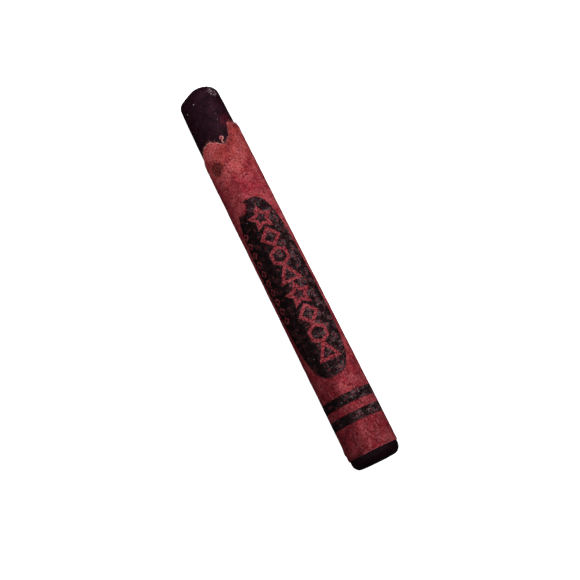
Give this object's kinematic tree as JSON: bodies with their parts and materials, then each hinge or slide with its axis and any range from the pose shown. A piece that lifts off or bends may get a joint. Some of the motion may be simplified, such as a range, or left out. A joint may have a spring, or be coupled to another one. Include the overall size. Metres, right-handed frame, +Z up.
{
  "type": "wax crayon",
  "caption": "Used wax crayon lying on its side, with a printed paper label wound twice round a tapered stick and torn back near a worn, domed tip.",
  "frame": {"origin": "on the surface that the crayon lies on, under the middle of its length", "axes": "+X from the base to the tip along the stick's axis, +Z up; angles round the stick are counted from the top towards +Y"},
  "size_m": [0.065, 0.008, 0.008],
  "materials": {
    "wax": "very dark purple-red pigmented wax, dull satin, scuffed and speckled with crumbs",
    "label_paper": "uncoated crimson paper, mottled and fibrous, with worn near-black print",
    "paste": "dried starch paste, dull and slightly yellow",
    "torn_paper": "torn paper fibre, pale pink, fuzzy"
  },
  "bodies": {
    "root": {"wax_stick": "wax", "paper_label": "label_paper", "wrap_paste": "paste", "seam_paste": "paste", "torn_curl": "torn_paper"}
  },
  "joints": []
}
